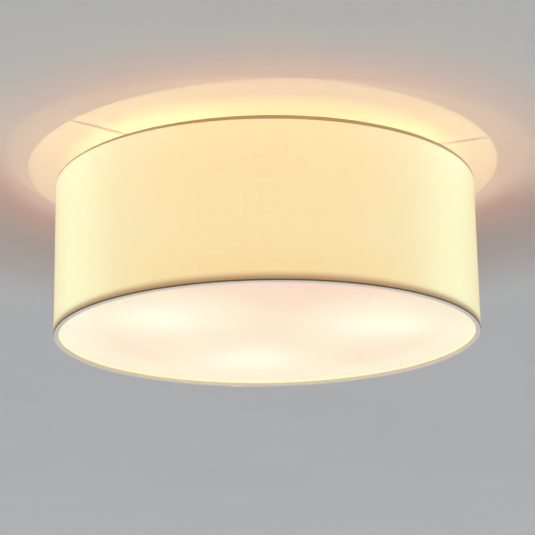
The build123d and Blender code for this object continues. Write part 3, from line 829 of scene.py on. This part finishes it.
# %% The studs under the pan
stud_circle_radius = 0.134
stud_low, stud_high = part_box("pan_studs")
stud_radius = stud_high.y - stud_circle_radius
studs = [
    rolled_thread(on_circle(stud_circle_radius, azimuth), stud_low.z, stud_high.z, stud_radius,
                  pitch=0.0007, depth=0.0003, plain=0, sides=24, steps=160,
                  drawn_in=[(stud_low.z, stud_radius / 4)])
    for azimuth in lamp_azimuths
]
hand_over(join(*studs), "rolled_studs", zinc, "canopy", "pan_studs")
print("stud radius", round(stud_radius, 5), "from", round(stud_low.z, 4), "to", round(stud_high.z, 4))

# %% [markdown]
# ## Room
#
# The light hangs under a plain ceiling over a plain pale floor. The ceiling is a plane that only
# shows from below, and not at all behind the pan, so a view from above looks through it into the pan.
# It throws no shadow, which lets soft light from above reach the top of the light in such a view.
# Near the drum the plaster's colour is tinted warmer and a little darker and it gets a faint glow,
# painted light and shade for the cloth's warm light on it, and on the far side, beyond the drum, a
# painted shadow of the drum makes it a little darker. The ceiling is turned over, so its own y runs
# towards the viewer.

# %% Ceiling and floor
room_size = 14
ceiling_gap = 0.0006  # keeps the plaster off the pan's back
floor_level = -2.3


def plane(name, level, turn_over, finish):
    clear_selection()
    bpy.ops.mesh.primitive_plane_add(
        size=room_size, location=(0, 0, level), rotation=(pi if turn_over else 0, 0, 0))
    piece = bpy.context.object
    piece.name = name
    piece.data.materials.append(finish.material)
    return piece


plaster = Finish("ceiling_plaster", Roughness=0.9, Specular_IOR_Level=0.1)
from_axis = plaster.from_axis()
white = plaster.clouded(plaster.noise(3), paint(240, 240, 241), paint(243, 243, 244))
# Painted light and shade near the drum: the plaster is tinted warmer and a little darker there, for the
# cloth's light and the drum's shade.
painted_light_and_shade_near_drum = plaster.between(from_axis, 0.36, 0.22)
tone = plaster.tinted(white, light(1.0, 0.87, 0.81), painted_light_and_shade_near_drum)
# Painted shadow of the drum on the far side.
painted_shadow_far_side = plaster.fold("MULTIPLY", plaster.between(plaster.axes()[1], 0.04, -0.08),
                        plaster.between(from_axis, 0.55, 0.32), plaster.between(from_axis, 0.235, 0.27))
tone = plaster.tinted(tone, light(0.84, 0.72, 0.68), painted_shadow_far_side)
# The emission adds a faint painted glow of the cloth's light near the drum.
plaster.set(Base_Color=tone, Emission_Strength=1.0,
            Emission_Color=plaster.mix(painted_light_and_shade_near_drum, unlit, light(0.12, 0.045, 0.04)))
behind_pan = plaster.between(from_axis, 0.1435, 0.1425)
see_through = plaster.add("ShaderNodeBsdfTransparent").outputs[0]
back = plaster.add("ShaderNodeNewGeometry").outputs["Backfacing"]
hole = plaster.math("MAXIMUM", back, behind_pan)
one_sided = plaster.add("ShaderNodeMixShader", hole, plaster.shader.outputs[0], see_through).outputs[0]
plaster.feed(plaster.tree.nodes["Material Output"].inputs["Surface"], one_sided)
ceiling = plane("ceiling", ceiling_gap, True, plaster)
ceiling.visible_shadow = False

pale = Finish("pale_floor", Roughness=0.8, Specular_IOR_Level=0.2)
pale.set(Base_Color=pale.clouded(pale.noise(2), paint(221, 221, 221), paint(225, 225, 225)))
floor = plane("floor", floor_level, False, pale)
print("stage:", ceiling.name, floor.name)

# %% [markdown]
# ## Light
#
# The room is lit softly from all round, from one large window-like light behind the viewer and a
# little from above. Each bulb also has three small lights. Two of them sit 14 mm above the middle of
# its globe. The small yellow one draws a bright circle on the ceiling, cut off by the
# drum's top edge, with the arms' shadows across it, and the wide red one softens that circle's edge.
# Through light linking these two reach the ceiling alone, because at their strength the pan beside
# them would burn out. The drum and the arms block them and the pan doesn't, so the circles stay
# whole. The third one lights the inside of the drum.
#
# The liner, the disc and the globes glow by themselves. Their glow is seen, and is kept off the other
# pieces, since the small lights stand for it there.

# %% Room light
room_colour = (0.975, 0.99, 1.0, 1)
room_strength = 1.24
seen_strength = 0.75  # what the viewer sees past the ceiling's edge
world = bpy.data.worlds.new("room")
bpy.context.scene.world = world
world.use_nodes = True
background = world.node_tree.nodes["Background"]
background.inputs["Color"].default_value = room_colour
path = world.node_tree.nodes.new("ShaderNodeLightPath")
strength = world.node_tree.nodes.new("ShaderNodeMapRange")
world.node_tree.links.new(path.outputs["Is Camera Ray"], strength.inputs["Value"])
strength.inputs["To Min"].default_value = room_strength
strength.inputs["To Max"].default_value = seen_strength
world.node_tree.links.new(strength.outputs[0], background.inputs["Strength"])


def add_light(kind, name, place, power, colour):
    """A light that isn't seen itself."""
    lamp = bpy.data.objects.new(name, bpy.data.lights.new(name, kind))
    lamp.data.energy, lamp.data.color = power, colour
    lamp.location = place
    lamp.visible_camera = False
    bpy.context.scene.collection.objects.link(lamp)
    return lamp


def area_light(name, place, target, size, power):
    """A round light of this size that faces its target."""
    lamp = add_light("AREA", name, place, power, (1, 0.99, 0.98))
    lamp.data.shape, lamp.data.size = "DISK", size
    lamp.rotation_euler = (Vector(target) - Vector(place)).to_track_quat("-Z", "Y").to_euler()


area_light("window", (-1.2, -2.7, -1.5), (0, 0.2, 0), size=2.2, power=6)
area_light("from_above", (0.8, -0.6, 2.4), (0, 0, -0.1), size=1.6, power=3)

# %% The bulbs' own light
only_ceiling = bpy.data.collections.new("lit_ceiling")
only_ceiling.objects.link(ceiling)
casts_shadow = bpy.data.collections.new("drum_and_arms")
for piece in (drum, seam, nodes["shade_liner"], nodes["top_ring"], nodes["carrier_arms"]):
    casts_shadow.objects.link(piece)

# Name, height over the lamp's middle, power, colour, radius, and whether it is for the ceiling alone.
bulb_lights = (
    ("glow_on_ceiling", 0.014, 0.40, (0.93, 1.0, 0.38), 0.0015, True),
    ("stray_on_ceiling", 0.014, 0.08, (1.0, 0.15, 0.06), 0.07, True),
    ("glow_inside", 0.0, 0.08, (1.0, 0.8, 0.5), 0.02, False),
)
for number, (x, y, z) in enumerate(lamps, start=1):
    for name, raised, power, colour, radius, ceiling_alone in bulb_lights:
        lamp = add_light("POINT", f"{name}_{number}", (x, y, z + raised), power, colour)
        lamp.data.shadow_soft_size = radius
        if ceiling_alone:
            lamp.light_linking.receiver_collection = only_ceiling
            lamp.light_linking.blocker_collection = casts_shadow

for name in ("shade_liner", "opal_disc", *trio("bulb_globe")):
    nodes[name].visible_diffuse = False
for name in trio("bulb_globe"):
    nodes[name].visible_shadow = False
print("lights at the bulbs:", len(lamps) * len(bulb_lights))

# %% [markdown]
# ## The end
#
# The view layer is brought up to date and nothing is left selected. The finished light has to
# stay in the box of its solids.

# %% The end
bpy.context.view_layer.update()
clear_selection()
